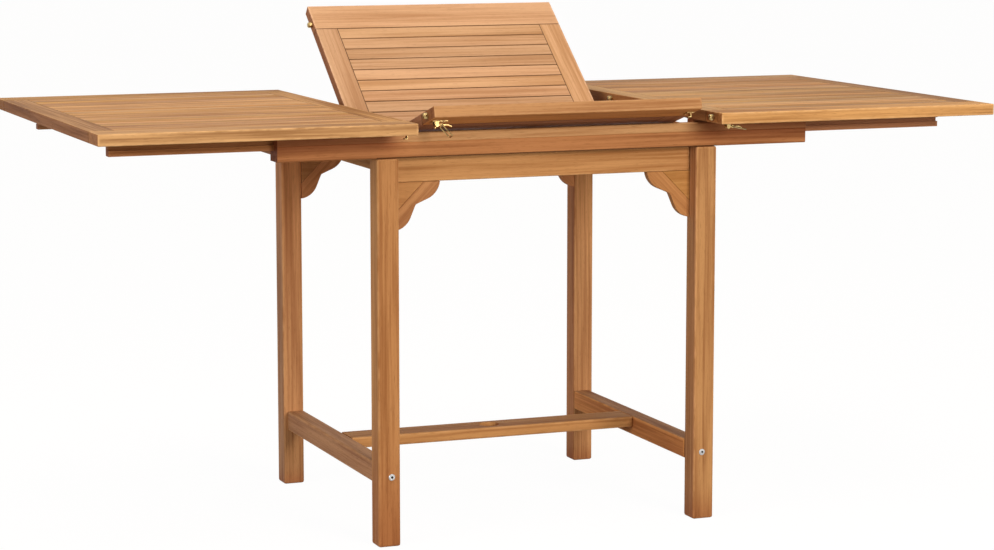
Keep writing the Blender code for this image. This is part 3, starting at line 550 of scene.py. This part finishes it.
# Bolts and pivot pins.
# Plated steel with a dull shine: bolts with a six-sided socket hold the stretchers, and plain
# pins with a flat head carry the leaf.
def make_handled_metal():
    """Metal that has been handled: cloudy tarnish, and fine scratches in two directions."""
    gives = {"Tarnish": "Float", "Roughness": "Float", "Height": "Float"}
    tree, given, result = new_group("handled_metal", {"Spot": "Vector"}, gives)
    cloud = stretched_noise(tree, given["Spot"], (160, 160, 160), 3)
    first = stretched_noise(tree, given["Spot"], (90, 1600, 1600), 1)
    second = stretched_noise(tree, given["Spot"], (1500, 110, 1500), 1)
    feed(tree, result["Tarnish"], between(tree, cloud, 0.42, 0.72))
    feed(tree, result["Roughness"], calc(tree, "MULTIPLY_ADD", cloud, 0.30, 0.14))
    feed(tree, result["Height"], calc(tree, "MULTIPLY", calc(tree, "ADD", first, second), 0.5))
    return tree


handled_metal = make_handled_metal()
metal_gloss = 0.5
scratch_depth = 0.0001


def metal(name, bright, dull):
    """A metal finish that is bright where hands rub it and dull in between."""
    material, tree, shader = new_material(name, metal_gloss)
    wear = use_group(tree, handled_metal, Spot=add(tree, "ShaderNodeTexCoord").outputs["Object"])
    feed(tree, shader.inputs["Base Color"], mix_colour(tree, wear["Tarnish"], (*bright, 1), (*dull, 1)))
    feed(tree, shader.inputs["Roughness"], wear["Roughness"])
    shader.inputs["Metallic"].default_value = 1.0
    roughen(tree, shader, wear["Height"], scratch_depth)
    return material


steel_bright = (0.62, 0.61, 0.60)
steel_dull = (0.40, 0.39, 0.38)
socket_radius = 0.0027
# The dark of the painted shade in a bolt's socket.
socket_shade = (0.02, 0.016, 0.012, 1)


def dress_bolt(node):
    """Plated steel, with painted shade in the socket at the middle of the head."""
    low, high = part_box(node)
    material = metal("steel_" + node, steel_bright, steel_dull)
    tree = material.node_tree
    base_colour = tree.nodes["Principled BSDF"].inputs["Base Color"]
    spot = board_spot(tree, (low + high) / 2, Matrix.Identity(3))
    measure = add(tree, "ShaderNodeVectorMath", operation="LENGTH")
    tree.links.new(vector_calc(tree, "MULTIPLY", spot, (1, 0, 1)), measure.inputs[0])
    socket_shade_mask = between(tree, measure.outputs["Value"], socket_radius, 0.7 * socket_radius)
    plate = base_colour.links[0].from_socket
    feed(tree, base_colour, mix_colour(tree, socket_shade_mask, plate, socket_shade))
    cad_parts[node].material_slots[0].material = material


pin_steel = metal("plated_steel", steel_bright, steel_dull)
for side in sides:
    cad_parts[f"pivot_pin_{side}"].material_slots[0].material = pin_steel
    for end in ends:
        dress_bolt(f"bolt_{end}_{side}")


# Aprons.
# Thin teak boards tenoned between the legs. They carry the brackets and stiffen the frame under
# the rails, and the two at the table's ends are redder.
apron_pale = (0.640, 0.315, 0.112)
apron_deep = (0.410, 0.170, 0.050)
end_apron_pale = (0.520, 0.230, 0.080)
end_apron_deep = (0.320, 0.118, 0.035)
for row, end in enumerate(ends):
    dress_board(f"apron_{end}", "X", 20 + row, apron_pale, apron_deep, figure=0.7)
for column, side in enumerate(sides):
    dress_board(f"end_apron_{side}", "Y", 22 + column, end_apron_pale, end_apron_deep)


# Brackets.
# Each is glued up from a corner block with level grain and a strip with its grain on the slant,
# sawn to an ogee on its free side. The strip is redder, and the glue line is dark.
block_pale = (0.530, 0.250, 0.082)
block_deep = (0.380, 0.155, 0.045)
strip_pale = (0.520, 0.232, 0.075)
strip_deep = (0.365, 0.142, 0.042)
# The back brackets are painted lighter and redder, to lift the shade that they stand in.
bracket_light_tints = {"front": (1.0, 1.0, 1.0), "back": (1.18, 1.10, 1.35)}
block_side = 0.054
block_depth = block_side / math.sqrt(2)
glue_width = 0.0008
glue_share = 0.45
ogee_sawn_share = 0.6
second_seed = 9


def dress_bracket(node, hand, seed, tint):
    """Teak with one seed in the block and another in the strip; hand is -1 on the left."""
    low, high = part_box(node)
    corner = Vector((low.x if hand < 0 else high.x, (low.y + high.y) / 2, high.z))
    turn = Matrix.Rotation(math.radians(45 * hand), 3, "Y")
    material, tree, shader = new_material("teak_" + node, oiled_gloss)
    level = board_spot(tree, corner, Matrix.Identity(3))
    slanted = board_spot(tree, corner, turn)
    below = calc(tree, "MULTIPLY", split(tree, slanted)[2], -1)
    strip = calc(tree, "GREATER_THAN", below, block_depth)
    wood = use_group(
        tree,
        teak_grain,
        Board=mix(tree, "VECTOR", strip, level, slanted),
        Seed=calc(tree, "MULTIPLY_ADD", strip, second_seed, seed),
        Pale=mix_colour(tree, strip, (*toned(block_pale, *tint), 1), (*toned(strip_pale, *tint), 1)),
        Deep=mix_colour(tree, strip, (*toned(block_deep, *tint), 1), (*toned(strip_deep, *tint), 1)),
        Figure=0.5,
        Spread=0.5,
    )
    off_glue = calc(tree, "ABSOLUTE", calc(tree, "SUBTRACT", below, block_depth))
    colour = dirt_and_shade(tree, between(tree, off_glue, glue_width, 0.0), glue_share, wood["Color"])
    colour = stain_sawn_ends(tree, turn, colour, ogee_sawn_share)
    finish_wood(node, material, tree, shader, wood, colour)


for row, end in enumerate(ends):
    for column, side in enumerate(sides):
        dress_bracket(f"bracket_{end}_{side}", 2 * column - 1, 26 + 2 * row + column, bracket_light_tints[end])


# Rails, cross rails and pivot bars.
# Two long rails lie on the legs, each a reddish board with a paler guide strip glued on top, with
# painted shade where the halves cover it and a painted shadow line along its bottom over the aprons.
# Cross rails tie their ends, and pivot bars carry the leaf.
rail_pale = (0.460, 0.188, 0.066)
rail_deep = (0.280, 0.098, 0.030)
guide_pale = (0.580, 0.300, 0.115)
guide_deep = (0.410, 0.180, 0.058)
guide_height = 0.016
# A painted shadow line along the rail's bottom edge, above the apron.
apron_line = 0.0026
apron_line_core = 0.4 * apron_line
apron_line_reach = 0.3225
apron_line_share = 0.75
bare_reach = 0.25
covered_reach = 0.31
painted_shade_under_tops = (0.66, 0.45, 0.40)
# The painted shade begins below the rail and is full near its top, in shares of its half height.
shade_begins = -1.3
shade_full = 0.8


def dress_rail(node, seed):
    """Teak with one seed and tone in the board, and another in the guide strip above it."""
    middle, turn, half = board_frame([node], "X")
    material, tree, shader = new_material("teak_" + node, oiled_gloss)
    spot = board_spot(tree, middle, turn)
    along, _, height = split(tree, spot)
    guide = calc(tree, "GREATER_THAN", height, half[2] - guide_height)
    wood = use_group(
        tree,
        teak_grain,
        Board=spot,
        Seed=calc(tree, "MULTIPLY_ADD", guide, second_seed, seed),
        Pale=mix_colour(tree, guide, (*rail_pale, 1), (*guide_pale, 1)),
        Deep=mix_colour(tree, guide, (*rail_deep, 1), (*guide_deep, 1)),
        Figure=1.0,
        Spread=0.6,
    )
    reach = calc(tree, "ABSOLUTE", along)
    covered = between(tree, reach, bare_reach, covered_reach)
    high_up = between(tree, height, shade_begins * half[2], shade_full * half[2])
    # Painted shade on the rail's ends under the tops, strongest near its top.
    colour = stain(tree, calc(tree, "MULTIPLY", covered, high_up), wood["Color"], painted_shade_under_tops)
    # The painted shadow line along the bottom edge.
    low_edge = between(tree, height, apron_line - half[2], apron_line_core - half[2])
    over_apron = calc(tree, "LESS_THAN", reach, apron_line_reach)
    colour = dirt_and_shade(tree, calc(tree, "MULTIPLY", low_edge, over_apron), apron_line_share, colour)
    finish_wood(node, material, tree, shader, wood, stain_sawn_ends(tree, turn, colour))


for row, end in enumerate(ends):
    dress_rail(f"rail_{end}", 31 + row)
for column, side in enumerate(sides):
    dress_board(f"cross_rail_{side}", "Y", 34 + column, rail_pale, rail_deep)
    dress_board(f"pivot_bar_{side}", "Y", 36 + column, rail_pale, rail_deep)


# Half tops.
# A long board at the front and at the back, and between them slats glued to end boards, with open
# gaps for the rain. Painted shade darkens the back boards and the end boards, most at the outer ends.
# Two runners under each half slide on the rails.
def make_slat_layout():
    """Sorts a slatted panel into its boards.

    Along the panel's first axis the slats end at the field's half length, and past it the
    end boards run across. Down its second axis a slat's number is the whole number of
    pitches from the first gap, and what lies before the first or after the last slat is a
    board beside them. Each board has its own seed and its own grain axis. Joint is one where
    slats meet an end board, Rim along the slats' long edges, and the ends on the end boards.
    """
    takes = {"Panel": "Vector"}
    takes.update({name: "Float" for name in ("Field", "First", "Pitch", "Slats", "Seed")})
    gives = {"Board": "Vector"}
    gives.update({name: "Float" for name in ("Piece", "Joint", "Rim", "Left end", "Right end")})
    tree, given, result = new_group("slat_layout", takes, gives)
    x, y, z = split(tree, given["Panel"])
    steps = calc(tree, "DIVIDE", calc(tree, "SUBTRACT", y, given["First"]), given["Pitch"])
    number = calc(tree, "MINIMUM", calc(tree, "MAXIMUM", calc(tree, "FLOOR", steps), -1), given["Slats"])
    off_middle = calc(tree, "SUBTRACT", calc(tree, "SUBTRACT", steps, number), 0.5)
    reach = calc(tree, "ABSOLUTE", x)
    crosswise = calc(tree, "GREATER_THAN", reach, given["Field"])
    for end, side_test in (("Left end", "LESS_THAN"), ("Right end", "GREATER_THAN")):
        feed(tree, result[end], calc(tree, "MULTIPLY", crosswise, calc(tree, side_test, x, 0)))
    slat = join(tree, x, calc(tree, "MULTIPLY", off_middle, given["Pitch"]), z)
    end_board = join(tree, y, x, z)
    feed(tree, result["Board"], mix(tree, "VECTOR", crosswise, slat, end_board))
    end_seed = calc(tree, "MULTIPLY_ADD", calc(tree, "SIGN", x), 3, 47)
    own_seed = mix(tree, "FLOAT", crosswise, number, end_seed)
    feed(tree, result["Piece"], calc(tree, "ADD", own_seed, given["Seed"]))
    seam = calc(tree, "ABSOLUTE", calc(tree, "SUBTRACT", reach, given["Field"]))
    feed(tree, result["Joint"], between(tree, seam, 0.0011, 0.0003))
    rim = between(tree, calc(tree, "ABSOLUTE", off_middle), 0.435, 0.475)
    rim = calc(tree, "MULTIPLY", rim, calc(tree, "SUBTRACT", 1, crosswise))
    past_first = calc(tree, "GREATER_THAN", steps, 0)
    before_last = calc(tree, "LESS_THAN", steps, given["Slats"])
    on_slats = calc(tree, "MULTIPLY", past_first, before_last)
    feed(tree, result["Rim"], calc(tree, "MULTIPLY", rim, on_slats))
    return tree


slat_layout = make_slat_layout()
under_face = (2, -1)
glue_and_gap_share = 0.85
plain_ends = ((1, 1, 1), (1, 1, 1))


def dress_slats(
    node, glued_to, layout, pale, deep, spread, rim_shade, under_shade, tilt=0.0, end_shades=plain_ends
):
    """Gives every slat and end board of a panel its own piece of teak.

    layout holds the values of the slat layout, rim_shade is how strong the painted shade along the
    slats' long edges is, under_shade the painted shade on the underside, and end_shades the
    painted shade on the left and right end boards.
    """
    middle, turn, _ = board_frame([node], "X", tilt)
    material, tree, shader = new_material("teak_" + node, oiled_gloss)
    boards = use_group(tree, slat_layout, Panel=board_spot(tree, middle, turn), **layout)
    wood = use_group(
        tree,
        teak_grain,
        Board=boards["Board"],
        Seed=boards["Piece"],
        Pale=(*pale, 1),
        Deep=(*deep, 1),
        Figure=1.0,
        Spread=spread,
    )
    colour = rub_and_highlight_edges(tree, node, glued_to, "X", tilt, wood, pale)
    # Painted shade on the end boards.
    for end, tint in zip(("Left end", "Right end"), end_shades):
        colour = stain(tree, boards[end], colour, tint)
    colour = stain_sawn_ends(tree, turn, colour)
    # Painted shade on the underside.
    colour = paint_face_light(tree, turn, colour, under_face, under_shade)
    # Old dirt in the glue joints, and painted shade along the slats' long edges beside the gaps.
    glue_dirt_and_gap_shade = calc(tree, "MAXIMUM", boards["Joint"], calc(tree, "MULTIPLY", boards["Rim"], rim_shade))
    finish_wood(node, material, tree, shader, wood, dirt_and_shade(tree, glue_dirt_and_gap_shade, glue_and_gap_share, colour))


top_pale = (0.640, 0.335, 0.126)
top_deep = (0.315, 0.137, 0.043)
half_shades = (1.0, 0.93)
# Painted shade on the back boards and on the end boards.
long_board_shades = {"front": (1, 1, 1), "back": (0.85, 0.83, 0.77)}
half_end_shades = (
    ((0.72, 0.66, 0.60), (1, 1, 1)),
    ((0.90, 0.88, 0.85), (0.66, 0.58, 0.52)),
)
runner_pale = (0.440, 0.175, 0.064)
runner_deep = (0.272, 0.096, 0.030)
end_board_width = 0.043
half_slat_count = 23
for column, side in enumerate(sides):
    slats = f"{side}_half_slats"
    plank = [f"{side}_half_board_front", slats, f"{side}_half_board_back"]
    for row, end in enumerate(ends):
        seed = 51 + 2 * column + row
        board_pale = toned(top_pale, *long_board_shades[end])
        board_deep = toned(top_deep, *long_board_shades[end])
        dress_board(f"{side}_half_board_{end}", "X", seed, board_pale, board_deep, glued_to=plank)
        dress_board(f"{side}_half_runner_{end}", "X", seed + 5, runner_pale, runner_deep)
    low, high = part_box(slats)
    field_depth = high.y - low.y
    dress_slats(
        slats,
        plank,
        layout={
            "Field": (high.x - low.x) / 2 - end_board_width,
            "First": -field_depth / 2,
            "Pitch": field_depth / half_slat_count,
            "Slats": half_slat_count,
            "Seed": 61 + 30 * column,
        },
        pale=toned(top_pale, half_shades[column]),
        deep=toned(top_deep, half_shades[column]),
        spread=1.0,
        rim_shade=0.75,
        under_shade=under_and_foot_shade,
        end_shades=half_end_shades[column],
    )


# The butterfly leaf.
# Two slatted panels of teak hinged at the fold, pinker because they have seen less sun, with a
# browner board at the front edge. A batten and the cleats that the leaf turns on are screwed on below.
leaf_pale = (0.580, 0.325, 0.170)
leaf_deep = (0.415, 0.205, 0.092)
# Painted shade on the slats' undersides.
leaf_under_shade = (0.63, 0.48, 0.48)
back_board_shade = 1.12
edge_pale = (0.430, 0.205, 0.076)
edge_deep = (0.285, 0.112, 0.035)
# Painted light on the underside of the front board.
edge_under_light = (1.55, 1.33, 1.05)
back_tilt = math.radians(38.3)
front_tilt = math.radians(-16.1)
leaf_slat_count = 10
fold_board_width = 0.0415
dress_board(
    "front_panel_board",
    "X",
    127,
    edge_pale,
    edge_deep,
    tilt=front_tilt,
    glued_to=["front_panel_slats"],
    face_light=(under_face, edge_under_light),
)
dress_board("front_panel_batten", "Y", 175, runner_pale, runner_deep, tilt=front_tilt)
dress_board(
    "back_panel_board",
    "X",
    147,
    toned(leaf_pale, back_board_shade),
    toned(leaf_deep, back_board_shade),
    tilt=back_tilt,
    glued_to=["back_panel_slats"],
)
for end, tilt, seed in (("front", front_tilt, 130), ("back", back_tilt, 153)):
    slats = f"{end}_panel_slats"
    half = board_frame([slats], "X", tilt)[2]
    field_depth = 2 * half[1] - fold_board_width
    dress_slats(
        slats,
        [f"{end}_panel_board"],
        layout={
            "Field": half[0] - end_board_width,
            "First": half[1] - field_depth if end == "back" else -half[1],
            "Pitch": field_depth / leaf_slat_count,
            "Slats": leaf_slat_count,
            "Seed": seed,
        },
        pale=leaf_pale,
        deep=leaf_deep,
        spread=0.45,
        rim_shade=1.0,
        under_shade=leaf_under_shade,
        tilt=tilt,
    )
for column, side in enumerate(sides):
    dress_board(f"back_panel_cleat_{side}", "Y", 171 + column, runner_pale, runner_deep, tilt=back_tilt)


def screw_heads(name, radius, places, way):
    """Heads of countersunk screws with a cross, all facing one way.

    A head's height falls with the square of the distance from its middle. The cross is sunk
    where the smaller of the two coordinates is below the arm's half width, out to its reach.
    Past the rim the surface drops into the wood and closes on a flat disc. These sizes are
    shares of the head's radius, and each head is turned a step on from the one before.
    """
    crown = 0.22
    cross_depth = 0.30
    cross_middle = -0.08
    foot_height = -0.35
    arm_half_width = 0.14
    arm_reach = 0.6
    turn_step = 0.7
    steps = 40
    turns = np.linspace(0, 2 * np.pi, steps, endpoint=False)
    reach = np.array([0.16, 0.30, 0.44, 0.58, 0.66, 0.84, 1.0, 1.0])[:, None]
    x, y = reach * np.cos(turns), reach * np.sin(turns)
    sunk = (np.minimum(abs(x), abs(y)) < arm_half_width) & (reach < arm_reach)
    height = crown * (1 - reach**2) - cross_depth * sunk
    height[-1] = foot_height
    rings = np.stack([x, y, height], axis=2).reshape(-1, 3)
    head = np.vstack([rings, [[0, 0, cross_middle], [0, 0, foot_height]]]) * radius
    count = len(reach)
    near = np.arange(count - 1)[:, None] * steps + np.arange(steps)
    ahead = np.arange(count - 1)[:, None] * steps + (np.arange(steps) + 1) % steps
    walls = np.stack([near, near + steps, ahead + steps, ahead], axis=2).reshape(-1, 4)
    top = np.stack([np.full(steps, count * steps), near[0], ahead[0]], axis=1)
    foot = np.stack([np.full(steps, count * steps + 1), ahead[-1] + steps, near[-1] + steps], axis=1)
    points, faces = [], []
    for number, place in enumerate(places):
        turn = way.to_track_quat("Z", "Y").to_matrix() @ Matrix.Rotation(turn_step * number, 3, "Z")
        points.append(head @ np.array(turn).T + np.array(place))
        faces += [row.tolist() for part in (walls, top, foot) for row in part + number * len(head)]
    mesh = bpy.data.meshes.new(name)
    mesh.from_pydata(np.concatenate(points).tolist(), [], faces)
    made = bpy.data.objects.new(name, mesh)
    bpy.context.scene.collection.objects.link(made)
    return made


def screwed_from_below(name, body, node, tilt, spots, plate, radius, material, slot):
    """Puts screws into the underside of a plate of the given thickness at a fitting's top."""
    middle, turn, half = board_frame([node], "X", tilt)
    places = [middle + turn @ Vector((x, y, half[2] - plate)) for x, y in spots]
    screws = screw_heads(name, radius, places, turn @ Vector((0, 0, -1)))
    screws.data.materials.append(material)
    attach(screws, body)


wood_screw = {"radius": 0.003, "material": pin_steel, "slot": "steel"}
batten = "front_panel_batten"
batten_spots = ((0, -0.075), (0, 0), (0, 0.075))
batten_thickness = 0.015
cleat_spots = ((0, -0.06), (0, 0.04), (0, 0.08))
screwed_from_below(
    "batten_screws", "front_panel", batten, front_tilt, batten_spots, batten_thickness, **wood_screw
)
for side in sides:
    cleat = f"back_panel_cleat_{side}"
    cleat_height = 2 * board_frame([cleat], "X", back_tilt)[2][2]
    screwed_from_below(
        f"cleat_screws_{side}", "back_panel", cleat, back_tilt, cleat_spots, cleat_height, **wood_screw
    )


# Brass fittings.
# Hinges at the fold, alignment pins, draw latches and their catches are pressed or turned
# from brass, bright where it is clean and brown in clouds of tarnish.
brass_bright = (0.48, 0.34, 0.14)
brass_dull = (0.25, 0.15, 0.055)
brass = metal("handled_brass", brass_bright, brass_dull)
brass_endings = ("_pin", "_catch", "_base", "_lever", "_bail")
brass_beginnings = ("fold_hinge", "right_half_pin")
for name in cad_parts:
    if name.endswith(brass_endings) or name.startswith(brass_beginnings):
        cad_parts[name].material_slots[0].material = brass

plate_thickness = 0.0015
brass_screw = {"radius": 0.0019, "material": brass, "slot": "brass"}
latch_spots = ((0.009, -0.0055), (0.009, 0.0055))
catch_spots = ((-0.0042, -0.0056), (-0.0042, 0.0056))
for body, node, tilt, spots in (
    ("front_panel", "front_panel_latch_base", front_tilt, latch_spots),
    ("right_half", "right_half_latch_base", 0.0, latch_spots),
    ("front_panel", "front_panel_catch", front_tilt, catch_spots),
    ("left_half", "left_half_catch", 0.0, catch_spots),
):
    screwed_from_below(node + "_screws", body, node, tilt, spots, plate_thickness, **brass_screw)
